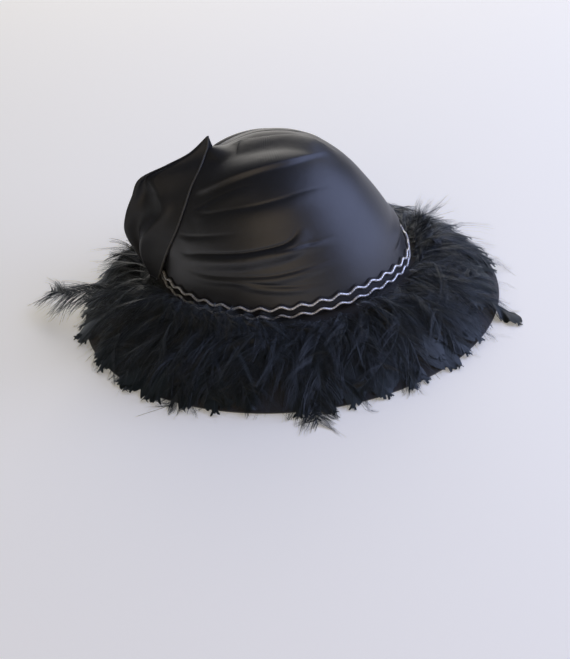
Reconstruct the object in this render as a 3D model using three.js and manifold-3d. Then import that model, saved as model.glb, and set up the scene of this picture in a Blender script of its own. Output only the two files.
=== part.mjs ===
import * as THREE from 'three';
import Module from 'manifold-3d';

// A brimmed felt hat: a felt crown and brim in one piece, satin draped over the crown and gathered into
// a standing tail at the back left, a waved braid round the foot of the crown and a feather trim on the brim.
// Millimetres, +Z up. The brim's edge lies in z = 0, the crown's axis is x = y = 0, the front faces -Y.

// crown, measured on the satin's outside
const crownHalfLength = 100;    // along Y, at the braid
const crownHalfWidth = 88;      // along X, at the braid
const crownFoot = 46;           // height where the straight wall ends and the dome begins
const crownRise = 97;           // from there to the top, without the folds
const crownSquareness = 2.68;   // 2 is an ellipse in side view, more has fuller shoulders
const crownTaper = 0.265;       // how much narrower the dome grows towards its top
const slimSide = 300;           // degrees; the dome is a little slimmer to the front left
const slimShare = 0.045;        // there, as a share of its radius
const slimFull = 0.35;          // share of the dome's rise from which it is fully so

// felt and brim
const feltWall = 2.4;
const feltDepth = 1.7;          // the felt's outside lies this far under the satin's outside
const feltFoot = 37.9;          // height where the felt turns out into the brim
const feltBend = 1.3;           // drop and spread of the felt in that turn
const brimTop = 36;             // height of the brim's upper face at the crown
const brimWidth = 70.5;
const brimEdge = 1.6;           // thickness left at the brim's edge
const brimBow = 0.18;           // 0 is a straight cone, more drops faster towards the edge
const brimSeat = 2.2;           // width of the flat ring that the hat rests on
const edgeRound = 0.4;          // how far the edge is eased at its top and bottom

// satin
const satinWall = 1.4;
const satinHem = 38.2;

// braid
const waveCount = 40;
const stepsPerWave = 4;
const waveHeight = 1.2;         // from the middle line to a crest
const braidMiddle = 42.9;
const braidRise = 4.2;          // how much higher it stands at the front
const braidRiseAt = 246;        // degrees
const braidRiseHalf = 56;       // degrees to either side over which it sinks back
const braidHalfHeight = 5.2;
const braidWall = 0.8;
const cordRadius = 1.1;
const cordSpread = 3.6;         // from the middle line to each cord
const clearance = 0.3;          // between neighbouring pieces

// feather trim
const backingInner = 4.2;       // this and the next measured outwards from the crown's wall
const backingCrest = 8.5;
const backingHeight = 43.5;
const featherRest = 1.2;        // from the brim's face up to the skirt of feathers
const lockRest = 2.6;           // from the brim's face up to the underside of the locks in it
const lockLeast = 0.8;          // least height of a lock over its underside
const featherFloor = 0.7;       // lowest point of a lock over the ground
const featherReach = 11;        // how far the longest even locks pass the brim's edge

const around = 42;
const crownLevels = [0, 0.1, 0.2, 0.32, 0.45, 0.6, 0.76, 0.91];
const drapeLevels = [0, 0.06, 0.12, 0.18, 0.24, 0.3, 0.37, 0.44, 0.51, 0.58, 0.65, 0.72, 0.79, 0.86, 0.93];
const brimReaches = [4, 24, 46];

// satin folds: stops are [angle in degrees, share of the dome's rise], height and width are millimetres,
// side is +1 where the fold stands above its line and -1 where it stands below
const folds = [
  { stops: [[118, 0.66], [95, 0.86], [340, 0.95], [307, 0.83], [304, 0.66]],
    height: 2.4, width: 9, side: 1 },
  { stops: [[137, 0.4], [157, 0.55], [179, 0.71], [240, 0.78], [283, 0.69]],
    height: 2.4, width: 10, side: -1 },
  { stops: [[140, 0.3], [157, 0.36], [187, 0.45], [216, 0.5], [249, 0.47]],
    height: 3.2, width: 9, side: 1 },
  { stops: [[142, 0.14], [176, 0.19], [206, 0.23], [218, 0.3]],
    height: 3, width: 8, side: -1 },
  { stops: [[140, 0.08], [177, 0.09], [208, 0.1], [228, 0.11]],
    height: 2.2, width: 6, side: -1 },
  { stops: [[95, 0.6], [70, 0.72], [30, 0.7], [345, 0.5]],
    height: 2.6, width: 10, side: 1 },
  { stops: [[98, 0.42], [70, 0.5], [35, 0.45], [5, 0.3]],
    height: 2.8, width: 10, side: 1 },
  { stops: [[98, 0.24], [72, 0.28], [45, 0.24], [20, 0.14]],
    height: 2.4, width: 8, side: 1 },
];
const foldFadeIn = 0.12;        // share of a fold's length over which it rises from nothing
const foldFadeOut = 0.55;       // share of its length from which it sinks again
const foldOffset = 0.6;         // how far, in widths, its crest stands off its line
const foldSteps = 24;
const foldsFreeAbove = 62;      // height from which the braid no longer holds the folds down

// satin tail, from its hem to its tip: the seam edge on the crown (angle, height, lift off the satin), the
// outer edge (polar angle, radius, height), the back edge (angle, height), and the ridge down the front face
// (its share of the way out and how far it swells)
const tailRows = [
  { seam: 131, seamHeight: 46, seamLift: 6.8, outer: 118, radius: 109, outerHeight: 46,
    back: 104, backHeight: 50, ridge: 0.68, swell: 2 },
  { seam: 136, seamHeight: 66, seamLift: 5, outer: 118, radius: 117, outerHeight: 63,
    back: 103, backHeight: 66, ridge: 0.64, swell: 5 },
  { seam: 140.5, seamHeight: 87, seamLift: 4.5, outer: 118, radius: 121.5, outerHeight: 80,
    back: 102, backHeight: 80, ridge: 0.52, swell: 6 },
  { seam: 140.5, seamHeight: 104, seamLift: 4.5, outer: 118, radius: 118, outerHeight: 95,
    back: 102, backHeight: 94, ridge: 0.34, swell: 4 },
  { seam: 136, seamHeight: 117, seamLift: 4.5, outer: 118, radius: 111, outerHeight: 109,
    back: 103, backHeight: 106, ridge: 0.52, swell: 4 },
  { seam: 131.5, seamHeight: 126, seamLift: 5, outer: 118, radius: 102.5, outerHeight: 123.5,
    back: 104, backHeight: 117, ridge: 0.74, swell: 2.5 },
  { seam: 124, seamHeight: 131.5, seamLift: 7, outer: 118, radius: 80, outerHeight: 132.5,
    back: 107, backHeight: 126, ridge: 0.7, swell: 1.2 },
  { seam: 119.5, seamHeight: 134.5, seamLift: 10.5, outer: 117, radius: 61, outerHeight: 140,
    back: 108, backHeight: 131, ridge: 0.6, swell: 0.4 },
];
const tailTip = { angle: 117, height: 136.5, lift: 17 };
const tailTuck = 3.5;           // degrees by which the seam edge is turned under
const tailOverBraid = 5;        // lift of the turned-under edge where it passes over the braid
const tailBackShares = [0.06, 0.35, 0.7, 1];
const tailBackSwell = 5;
const tailBackTurn = 12;        // degrees from the outer edge to the way the back face swells
const tailBackLift = 1.4;       // how far the back edge stands over the satin
const tailPoint = 0.14;         // size of the tail's end, as a share of its last row
// across the front face: way is 0 at the seam edge, 1 on the ridge and 2 at the outer edge, out is in swells
const tailFront = [
  { way: 0, out: 0 },
  { way: 0.5, out: 0.5 },
  { way: 1, out: 1 },
  { way: 1.5, out: -0.7 },
  { way: 1.92, out: 0 },
];

// the skirt of feathers that covers the brim ends in blunt lobes, each with these steps past its edge
const skirtLobes = 20;
const lobeSteps = [-9, 2, 5, 1];
const lobeVary = 4;
const skirtMiddle = 36;         // outwards from the crown's wall
const skirtThickness = 12;      // there, over the brim
const skirtEdge = 4.5;          // near its edge
const skirtTaper = 8;           // from there to its edge
const pressedShare = 0.35;      // thickness left where the tail hangs over the feathers
const pressedFrom = [20, 34];   // degrees to either side of the tail over which it comes back
// feather locks on the skirt: where they start and end, outwards from the crown's wall, their width, their
// thickness and how much their reach varies
const lockLayers = [
  { count: 12, root: 38, reach: brimWidth + featherReach, width: 25, thick: 9, vary: 10, rise: 0 },
  { count: 20, root: 7, reach: 58, width: 30, thick: 18, vary: 16, rise: 0 },
];
const lockVary = { thick: 0.2, sweep: 4 };
// single feathers that stand out past the others, and last the tuft that stands up behind the tail: angle,
// reach, width, thickness, how far the tip rises off the brim, and sideways sweep in degrees
const strayFeathers = [
  { angle: 123, root: 32, reach: brimWidth + 28, width: 16, thick: 7, rise: 15, sweep: -11 },
  { angle: 131, root: 30, reach: brimWidth + 14, width: 22, thick: 6, rise: 0, sweep: -4 },
  { angle: 176, root: 40, reach: brimWidth + 15, width: 22, thick: 6, rise: 0, sweep: -3 },
  { angle: 210, root: 40, reach: brimWidth + 15, width: 22, thick: 7, rise: 0, sweep: 2 },
  { angle: 280, root: 40, reach: brimWidth + 19, width: 14, thick: 6, rise: 2, sweep: -4 },
  { angle: 104, root: 12, reach: 50, width: 30, thick: 24, rise: 8, sweep: -4 },
];
const lockStops = [
  { share: 0, width: 0.6, thick: 0.7 },
  { share: 0.42, width: 0.95, thick: 1 },
  { share: 0.8, width: 0.8, thick: 0.6 },
  { share: 1, width: 0.3, thick: 0.1 },
];

const { degToRad: radians, smoothstep } = THREE.MathUtils;
const braidTop = braidMiddle + braidHalfHeight + waveHeight;

// A point on the straight wall at the crown's foot, set off outwards by offset.
function wallPoint(angle, height, offset) {
  return new THREE.Vector3(
    (crownHalfWidth + offset) * Math.cos(angle), (crownHalfLength + offset) * Math.sin(angle), height);
}

// Radius factor and height factor of the dome at a share of its rise.
function domeShape(share) {
  const turn = share * Math.PI / 2;
  const height = Math.sin(turn) ** (2 / crownSquareness);
  const radius = Math.max(Math.cos(turn), 0) ** (2 / crownSquareness) * (1 - crownTaper * height);
  return { radius, height };
}

// The dome is not quite even all round: its radius factor at an angle and share.
function slimmed(angle, share) {
  const facing = (1 + Math.cos(angle - radians(slimSide))) / 2;
  return 1 - slimShare * facing * facing * smoothstep(share, 0, slimFull);
}

// A point on the dome, set off along the surface's normal by offset.
function crownPoint(angle, share, offset) {
  const here = domeShape(share);
  const radius = here.radius * slimmed(angle, share);
  const step = 0.001;
  const low = domeShape(Math.max(share - step, 0));
  const high = domeShape(Math.min(share + step, 1));
  const inward = (low.radius - high.radius) * (crownHalfWidth + crownHalfLength) / 2;
  const upward = (high.height - low.height) * crownRise;
  const length = Math.hypot(inward, upward);
  const out = offset * upward / length;
  return new THREE.Vector3(
    (crownHalfWidth * radius + out) * Math.cos(angle),
    (crownHalfLength * radius + out) * Math.sin(angle),
    crownFoot + crownRise * here.height + offset * inward / length);
}

// The share of the dome's rise at which its surface has a given height.
function shareAtHeight(height) {
  const rise = THREE.MathUtils.clamp((height - crownFoot) / crownRise, 0, 1);
  return Math.asin(rise ** (crownSquareness / 2)) / (Math.PI / 2);
}

// Height of the brim's upper face, reach millimetres out from the crown's wall.
function brimHeight(reach) {
  const share = reach / brimWidth;
  return brimTop - (brimTop - brimEdge) * (share * (1 - brimBow) + share * share * brimBow);
}

function brimPoint(angle, reach, offset) {
  const slope = (brimHeight(reach + 0.5) - brimHeight(reach - 0.5));
  const length = Math.hypot(1, slope);
  return wallPoint(angle, brimHeight(reach) + offset / length, reach - offset * slope / length);
}

function geometryFrom(points, triangles) {
  const geometry = new THREE.BufferGeometry();
  const places = points.flatMap(({ x, y, z }) => [x, y, z]);
  geometry.setAttribute('position', new THREE.Float32BufferAttribute(places, 3));
  geometry.setIndex(triangles.flat());
  geometry.computeVertexNormals();
  return geometry;
}

function joinRings(triangles, lower, upper, count, closed) {
  const last = closed ? count : count - 1;
  for (let i = 0; i < last; i += 1) {
    const next = (i + 1) % count;
    triangles.push([lower + i, lower + next, upper + next], [lower + i, upper + next, upper + i]);
  }
}

// A closed shell whose section, seen at each angle, runs from the outer top to the inner top.
function ovalShell(outerTop, innerTop, sectionAt) {
  const points = [];
  const triangles = [];
  const sections = Array.from({ length: around }, (_, i) => sectionAt(2 * Math.PI * i / around));
  const rows = sections[0].length;
  for (let row = 0; row < rows; row += 1) {
    sections.forEach((section) => points.push(section[row]));
  }
  for (let row = 0; row < rows - 1; row += 1) {
    joinRings(triangles, (row + 1) * around, row * around, around, true);
  }
  points.push(outerTop, innerTop);
  for (let i = 0; i < around; i += 1) {
    const next = (i + 1) % around;
    triangles.push([i, next, rows * around]);
    triangles.push([(rows - 1) * around + next, (rows - 1) * around + i, rows * around + 1]);
  }
  return geometryFrom(points, triangles);
}

// A ring of loops, each with its points counterclockwise when seen along the way the ring runs.
function closedSweep(loops) {
  const sides = loops[0].length;
  const triangles = [];
  loops.forEach((_, i) => joinRings(triangles, i * sides, ((i + 1) % loops.length) * sides, sides, true));
  return geometryFrom(loops.flat(), triangles);
}

// A run of loops, closed by a flat fan at each end.
function openSweep(loops) {
  const sides = loops[0].length;
  const triangles = [];
  for (let i = 0; i < loops.length - 1; i += 1) {
    joinRings(triangles, i * sides, (i + 1) * sides, sides, true);
  }
  const last = (loops.length - 1) * sides;
  for (let i = 1; i < sides - 1; i += 1) {
    triangles.push([0, i + 1, i], [last, last + i, last + i + 1]);
  }
  return geometryFrom(loops.flat(), triangles);
}

// A sheet of cloth with a wall: a grid of points, thickened to both sides along its normals.
function thickSheet(grid, wall) {
  const rows = grid.length;
  const columns = grid[0].length;
  const { clamp } = THREE.MathUtils;
  const at = (row, column) => grid[clamp(row, 0, rows - 1)][clamp(column, 0, columns - 1)];
  const front = [];
  const back = [];
  for (let row = 0; row < rows; row += 1) {
    for (let column = 0; column < columns; column += 1) {
      const along = at(row, column + 1).clone().sub(at(row, column - 1));
      const up = at(row + 1, column).clone().sub(at(row - 1, column));
      const normal = along.cross(up).normalize();
      front.push(at(row, column).clone().addScaledVector(normal, wall / 2));
      back.push(at(row, column).clone().addScaledVector(normal, -wall / 2));
    }
  }
  const total = rows * columns;
  const triangles = [];
  for (let row = 0; row < rows - 1; row += 1) {
    joinRings(triangles, row * columns, (row + 1) * columns, columns, false);
    joinRings(triangles, total + (row + 1) * columns, total + row * columns, columns, false);
    for (const [edge, flip] of [[0, false], [columns - 1, true]]) {
      const low = row * columns + edge;
      const high = low + columns;
      const quad = flip ? [low, total + low, total + high, high] : [low, high, total + high, total + low];
      triangles.push([quad[0], quad[1], quad[2]], [quad[0], quad[2], quad[3]]);
    }
  }
  joinRings(triangles, total, 0, columns, false);
  joinRings(triangles, (rows - 1) * columns, total + (rows - 1) * columns, columns, false);
  return geometryFrom([...front, ...back], triangles);
}

// Felt crown and brim, one wall: over the crown, out along the brim, round its edge and back inside.
function feltBody() {
  const innerDepth = feltDepth + feltWall;
  const face = brimWidth - edgeRound;
  return ovalShell(
    crownPoint(0, 1, -feltDepth),
    crownPoint(0, 1, -innerDepth),
    (angle) => [
      ...crownLevels.toReversed().map((share) => crownPoint(angle, share, -feltDepth)),
      wallPoint(angle, feltFoot, -feltDepth),
      wallPoint(angle, feltFoot - feltBend, feltBend / 2 - feltDepth),
      brimPoint(angle, feltBend, 0),
      ...brimReaches.map((reach) => brimPoint(angle, reach, 0)),
      wallPoint(angle, brimEdge, face),
      wallPoint(angle, brimEdge / 2, brimWidth),
      wallPoint(angle, 0, face),
      wallPoint(angle, 0, face - brimSeat),
      ...brimReaches.toReversed().map((reach) => brimPoint(angle, reach, -feltWall)),
      wallPoint(angle, feltFoot - 3 * feltBend, -feltDepth - feltBend),
      wallPoint(angle, feltFoot - feltBend / 2, -innerDepth),
      ...crownLevels.map((share) => crownPoint(angle, share, -innerDepth)),
    ]);
}

const foldLines = folds.map((fold) => {
  const stops = fold.stops.map(([angle, share]) => crownPoint(radians(angle), share, 0));
  return { ...fold, line: new THREE.CatmullRomCurve3(stops).getSpacedPoints(foldSteps) };
});

// How far the folds lift the satin at a point of the plain dome.
function foldLift(point) {
  let lift = 0;
  for (const { line, height, width, side } of foldLines) {
    let nearest = 0;
    line.forEach((stop, i) => {
      if (stop.distanceTo(point) < line[nearest].distanceTo(point)) nearest = i;
    });
    const last = line.length - 1;
    const along = line[Math.min(nearest + 1, last)].clone().sub(line[Math.max(nearest - 1, 0)]).normalize();
    const outward = line[nearest].clone().sub(new THREE.Vector3(0, 0, crownFoot)).normalize();
    const across = outward.cross(along).normalize();
    const offLine = point.clone().sub(line[nearest]);
    const distance = offLine.length();
    const above = across.z >= 0 ? 1 : -1;
    const offCrest = distance * Math.sign(offLine.dot(across)) * above * side - width * foldOffset;
    const share = nearest / last;
    const fade = smoothstep(share, 0, foldFadeIn) * (1 - smoothstep(share, foldFadeOut, 1));
    lift = Math.max(lift, height * fade * Math.exp(-((offCrest / width) ** 2)));
  }
  return lift * smoothstep(point.z, braidTop + braidRise, foldsFreeAbove);
}

function drapePoint(angle, share) {
  return crownPoint(angle, share, foldLift(crownPoint(angle, share, 0)));
}

// Satin draped over the crown, with its folds in the outer face and a smooth inner face.
function satinCover() {
  const top = crownPoint(0, 1, 0);
  top.z += foldLift(top);
  return ovalShell(
    top,
    crownPoint(0, 1, -satinWall),
    (angle) => [
      ...drapeLevels.toReversed().map((share) => drapePoint(angle, share)),
      wallPoint(angle, satinHem, 0),
      wallPoint(angle, satinHem, -satinWall),
      ...crownLevels.map((share) => crownPoint(angle, share, -satinWall)),
    ]);
}

function polarPoint(degrees, radius, height) {
  return new THREE.Vector3(radius * Math.cos(radians(degrees)), radius * Math.sin(radians(degrees)), height);
}

// One line across the tail: turned under at the seam edge, out along the front face, then back to the crown.
function tailLine(row) {
  const share = shareAtHeight(row.seamHeight);
  const tuckLift = row.seamHeight < braidTop ? tailOverBraid : clearance + satinWall;
  const tucked = crownPoint(radians(row.seam - tailTuck), share, tuckLift);
  const seam = crownPoint(radians(row.seam), share, row.seamLift);
  const outer = polarPoint(row.outer, row.radius, row.outerHeight);
  const back = crownPoint(radians(row.back), shareAtHeight(row.backHeight), tailBackLift);
  const facing = outer.clone().sub(seam).cross(new THREE.Vector3(0, 0, -1)).normalize();
  const front = tailFront.map(({ way, out }) => {
    const part = way < 1 ? row.ridge * way : row.ridge + (1 - row.ridge) * (way - 1);
    return seam.clone().lerp(outer, part).addScaledVector(facing, row.swell * out);
  });
  const backward = polarPoint(row.outer - tailBackTurn, 1, 0);
  const behind = tailBackShares.map((part) => outer.clone().lerp(back, part)
    .addScaledVector(backward, tailBackSwell * Math.sin(Math.PI * part)));
  return [tucked, ...front, outer, ...behind];
}

function satinTail() {
  const tip = crownPoint(radians(tailTip.angle), shareAtHeight(tailTip.height), tailTip.lift);
  const rows = tailRows.map(tailLine);
  rows.push(rows.at(-1).map((point) => tip.clone().lerp(point, tailPoint)));
  return thickSheet(rows, satinWall);
}

// Waves round the foot of the crown, in step for the braid and both cords.
const waveSteps = Array.from({ length: waveCount * stepsPerWave }, (_, i) => {
  const turn = 360 * i / (waveCount * stepsPerWave);
  const rise = braidRise * (1 - smoothstep(Math.abs(turn - braidRiseAt), 0, braidRiseHalf));
  return { angle: radians(turn), wave: waveHeight * Math.sin(2 * Math.PI * i / stepsPerWave) + rise };
});

function braidRibbon() {
  const inner = clearance;
  const outer = clearance + braidWall;
  return closedSweep(waveSteps.map(({ angle, wave }) => {
    const low = braidMiddle - braidHalfHeight + wave;
    const high = braidMiddle + braidHalfHeight + wave;
    return [
      wallPoint(angle, low, inner), wallPoint(angle, high, inner),
      wallPoint(angle, high, outer), wallPoint(angle, low, outer),
    ];
  }));
}

function silverCord(height) {
  const centre = clearance + braidWall + clearance + cordRadius;
  return closedSweep(waveSteps.map(({ angle, wave }) => [
    wallPoint(angle, height + wave, centre - cordRadius),
    wallPoint(angle, height + wave + cordRadius, centre),
    wallPoint(angle, height + wave, centre + cordRadius),
    wallPoint(angle, height + wave - cordRadius, centre),
  ]));
}

// The tail hangs over one stretch of the brim, so the feathers lie lower there: 1 is full thickness.
function lockPress(angle) {
  const turn = THREE.MathUtils.euclideanModulo(angle - radians(tailRows[0].outer) + Math.PI, 2 * Math.PI);
  const [low, high] = pressedFrom.map(radians);
  return pressedShare + (1 - pressedShare) * smoothstep(Math.abs(turn - Math.PI), low, high);
}

// A point over the brim that never comes lower than the feathers may.
function featherPoint(angle, reach, raise) {
  const point = brimPoint(angle, reach, raise);
  point.z = Math.max(point.z, featherFloor + raise - featherRest);
  return point;
}

// One lock: a roof-shaped strip that follows the brim and tapers to its tip.
function lock({ angle, root, reach, width, thick, sweep, rise }) {
  return openSweep(lockStops.map((stop) => {
    const out = root + (reach - root) * stop.share;
    const turned = angle + radians(sweep) * stop.share * stop.share;
    const half = width * stop.width / 2 / (crownHalfLength + out);
    const under = lockRest + rise * stop.share * stop.share;
    const raise = Math.max(thick * stop.thick * (rise > 0 ? 1 : lockPress(turned)), lockLeast);
    return [
      featherPoint(turned - half, out, under),
      featherPoint(turned + half, out, under),
      featherPoint(turned, out, under + raise),
    ];
  }));
}

// Evenly spread numbers from -1 to 1 that never settle into a pattern the eye can follow.
function spread(index, step) {
  return 2 * ((index * step) % 1) - 1;
}
const spreadSteps = { reach: 0.618, thick: 0.414, sweep: 0.732 };

// The stitched heads by the braid and the skirt of feathers that runs from them over the whole brim.
function featherSkirt() {
  const steps = skirtLobes * lobeSteps.length;
  return closedSweep(Array.from({ length: steps }, (_, i) => {
    const angle = 2 * Math.PI * i / steps;
    const lobe = Math.floor(i / lobeSteps.length);
    const reach = brimWidth + lobeSteps[i % lobeSteps.length] + lobeVary * spread(lobe, spreadSteps.reach);
    return [
      brimPoint(angle, backingInner, featherRest / 2),
      wallPoint(angle, backingHeight - featherRest, backingInner),
      wallPoint(angle, backingHeight, backingCrest),
      featherPoint(angle, skirtMiddle, featherRest + skirtThickness * lockPress(angle)),
      featherPoint(angle, reach - skirtTaper, featherRest + skirtEdge),
      featherPoint(angle, reach, featherRest + lockLeast),
      featherPoint(angle, reach - skirtTaper, featherRest),
      featherPoint(angle, skirtMiddle, featherRest),
    ];
  }));
}

const wasm = await Module();
wasm.setup();

function toSolid(geometry) {
  return new wasm.Manifold(new wasm.Mesh({
    numProp: 3,
    vertProperties: new Float32Array(geometry.attributes.position.array),
    triVerts: new Uint32Array(geometry.index.array),
  }));
}

function fromSolid(solid) {
  const { vertProperties, triVerts } = solid.getMesh();
  const geometry = new THREE.BufferGeometry();
  geometry.setAttribute('position', new THREE.Float32BufferAttribute(vertProperties, 3));
  geometry.setIndex(Array.from(triVerts));
  geometry.computeVertexNormals();
  return geometry;
}

function featherTrim() {
  let trim = toSolid(featherSkirt());
  for (const layer of lockLayers) {
    for (let i = 0; i < layer.count; i += 1) {
      const onAxis = i % (layer.count / 4) === 0;
      trim = trim.add(toSolid(lock({
        ...layer,
        angle: 2 * Math.PI * i / layer.count,
        reach: layer.reach - (onAxis ? 0 : layer.vary * (1 + spread(i, spreadSteps.reach)) / 2),
        thick: layer.thick * (1 + lockVary.thick * spread(i, spreadSteps.thick)),
        sweep: onAxis ? 0 : lockVary.sweep * spread(i, spreadSteps.sweep),
      })));
    }
  }
  for (const feather of strayFeathers) {
    trim = trim.add(toSolid(lock({ ...feather, angle: radians(feather.angle) })));
  }
  return fromSolid(trim);
}

function piece(name, geometry, color, roughness, metalness) {
  const mesh = new THREE.Mesh(geometry, new THREE.MeshStandardMaterial({ color, roughness, metalness }));
  mesh.name = name;
  return mesh;
}

const hat = new THREE.Group();
hat.add(
  piece('felt_body', feltBody(), 0x17171a, 0.95, 0),
  piece('satin_cover', satinCover(), 0x1c1d24, 0.4, 0),
  piece('satin_tail', satinTail(), 0x1a1b1f, 0.42, 0),
  piece('braid_ribbon', braidRibbon(), 0x101114, 0.7, 0),
  piece('silver_cord_upper', silverCord(braidMiddle + cordSpread), 0xb9bcc4, 0.35, 0.8),
  piece('silver_cord_lower', silverCord(braidMiddle - cordSpread), 0xb9bcc4, 0.35, 0.8),
  piece('feather_trim', featherTrim(), 0x14171c, 0.6, 0),
);

export default hat;
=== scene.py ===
import math
import bpy
import numpy as np
from mathutils import Matrix, Vector


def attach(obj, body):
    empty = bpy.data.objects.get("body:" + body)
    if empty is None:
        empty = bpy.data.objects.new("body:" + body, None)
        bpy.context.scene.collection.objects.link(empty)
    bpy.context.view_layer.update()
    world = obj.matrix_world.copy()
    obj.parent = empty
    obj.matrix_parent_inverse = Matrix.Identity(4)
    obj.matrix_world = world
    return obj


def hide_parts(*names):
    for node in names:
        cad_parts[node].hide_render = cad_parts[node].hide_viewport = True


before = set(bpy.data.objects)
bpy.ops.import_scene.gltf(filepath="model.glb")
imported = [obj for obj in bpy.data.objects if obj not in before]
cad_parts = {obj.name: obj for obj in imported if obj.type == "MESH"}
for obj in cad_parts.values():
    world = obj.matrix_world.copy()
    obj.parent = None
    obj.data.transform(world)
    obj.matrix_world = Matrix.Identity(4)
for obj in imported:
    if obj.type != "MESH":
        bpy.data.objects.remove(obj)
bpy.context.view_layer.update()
bpy.ops.object.select_all(action="DESELECT")
random = np.random.default_rng(41)

# camera at the photograph's angle, in degrees and metres
cameraPlace = {
    "azimuth": -60.0, "elevation": 28.7, "roll": 7.7, "distance": 1.25,
    "target": (0.0, 0.0, 0.06),
    "frame": (570, 659),             # the photograph's width and height in pixels
    "focalPixels": 1575.0,
    "targetPixel": (281.0, 235.0),   # where the target shows in the frame
    "sensorHeight": 24.0,            # millimetres
}


def cameraAxes(azimuth, elevation, roll):
    a, e, r = (math.radians(v) for v in (azimuth, elevation, roll))
    back = Vector((math.sin(a) * math.cos(e), -math.cos(a) * math.cos(e), math.sin(e)))
    level = Vector((math.cos(a), math.sin(a), 0))
    upright = back.cross(level)
    right = level * math.cos(r) - upright * math.sin(r)
    return right, back.cross(right), back


def placeCamera(place):
    right, up, back = cameraAxes(place["azimuth"], place["elevation"], place["roll"])
    eye = Vector(place["target"]) + back * place["distance"]
    wide, high = place["frame"]
    u, v = place["targetPixel"]
    turnDown = math.atan((high / 2 - v) / place["focalPixels"])
    turnRight = math.atan((wide / 2 - u) / place["focalPixels"])
    turned = Matrix((right, up, back)).transposed()
    turned = turned @ Matrix.Rotation(-turnDown, 3, "X") @ Matrix.Rotation(-turnRight, 3, "Y")
    data = bpy.data.cameras.new("photoCamera")
    data.sensor_fit = "VERTICAL"
    data.sensor_height = place["sensorHeight"]
    data.lens = place["focalPixels"] * place["sensorHeight"] / high
    camera = bpy.data.objects.new("photoCamera", data)
    bpy.context.scene.collection.objects.link(camera)
    camera.matrix_world = Matrix.Translation(eye) @ turned.to_4x4()
    bpy.context.scene.camera = camera


placeCamera(cameraPlace)
print("camera placed")


# materials

def newMaterial(name):
    material = bpy.data.materials.new(name)
    material.use_nodes = True
    nodes, links = material.node_tree.nodes, material.node_tree.links
    return material, nodes, links, nodes["Principled BSDF"]


def addNode(nodes, kind, **sockets):
    node = nodes.new(kind)
    for name, value in sockets.items():
        node.inputs[name].default_value = value
    return node


def addRamp(nodes, stops):
    ramp = nodes.new("ShaderNodeValToRGB")
    while len(ramp.color_ramp.elements) < len(stops):
        ramp.color_ramp.elements.new(0.5)
    for element, (place, colour) in zip(ramp.color_ramp.elements, stops):
        element.position = place
        element.color = (*colour, 1)
    return ramp


finishSockets = {
    "roughness": "Roughness", "metal": "Metallic", "specular": "Specular IOR Level",
    "anisotropy": "Anisotropic", "sheen": "Sheen Weight", "sheenRoughness": "Sheen Roughness",
    "sheenTint": "Sheen Tint",
}


def setFinish(shader, look):
    for name, socket in finishSockets.items():
        if name in look:
            shader.inputs[socket].default_value = look[name]


def addTexture(nodes, links, kind, **sockets):
    # a texture that lies still on the piece
    texture = addNode(nodes, kind, **sockets)
    place = nodes.new("ShaderNodeTexCoord")
    links.new(place.outputs["Object"], texture.inputs["Vector"])
    return texture


def colourBy(nodes, links, value, look, low, high, shader):
    ramp = addRamp(nodes, [(low, look["dark"]), (high, look["light"])])
    links.new(value, ramp.inputs["Fac"])
    links.new(ramp.outputs["Color"], shader.inputs["Base Color"])


def bumpBy(nodes, links, texture, strength, distance, into):
    bump = addNode(nodes, "ShaderNodeBump", Strength=strength, Distance=distance)
    links.new(texture.outputs["Fac"], bump.inputs["Height"])
    links.new(bump.outputs["Normal"], into.inputs["Normal"])
    return bump


satinFinish = {
    "dark": (0.005, 0.005, 0.006), "light": (0.010, 0.0102, 0.0125),
    "roughness": 0.44, "specular": 0.75, "anisotropy": 0.2,
    "sheen": 0.07, "sheenTint": (0.62, 0.68, 0.9, 1), "sheenRoughness": 0.42,
    "weaveScale": 412.7, "threadBump": 0.05, "crinkleBump": 0.12,
}

# on the tail the threads run across, so it shines less; its base colour is also set lighter than the crown's
# satin, painted light on a lit copy of the same cloth
turnedFinishPaintedLight = {
    "dark": (0.008, 0.0085, 0.009), "light": (0.016, 0.0165, 0.017),
    "roughness": 0.5, "specular": 0.4, "anisotropy": 0.0, "sheen": 0.12,
}
# its rolled edge is painted paler, a painted highlight along the roll
seamHighlightFinish = {
    "dark": (0.045, 0.045, 0.042), "light": (0.07, 0.07, 0.065),
    "specular": 0.4, "sheen": 0.1,
}


def satinMaterial(name, look):
    material, nodes, links, shader = newMaterial(name)
    tone = addTexture(nodes, links, "ShaderNodeTexNoise", Scale=38.0, Detail=5.0, Roughness=0.55)
    weave = addTexture(nodes, links, "ShaderNodeTexWave", Scale=look["weaveScale"], Distortion=1.5)
    weave.bands_direction = "DIAGONAL"
    crinkle = addTexture(nodes, links, "ShaderNodeTexNoise", Scale=150.0, Detail=3.0, Roughness=0.5)
    colourBy(nodes, links, tone.outputs["Fac"], look, 0.35, 0.7, shader)
    crinkled = bumpBy(nodes, links, crinkle, look["crinkleBump"], 0.001, shader)
    bumpBy(nodes, links, weave, look["threadBump"], 0.0002, crinkled)
    setFinish(shader, look)
    return material


feltFinish = {
    "dark": (0.008, 0.008, 0.009), "light": (0.022, 0.021, 0.022), "contrast": 2.2,
    "roughness": 0.95, "sheen": 0.35,
}


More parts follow.
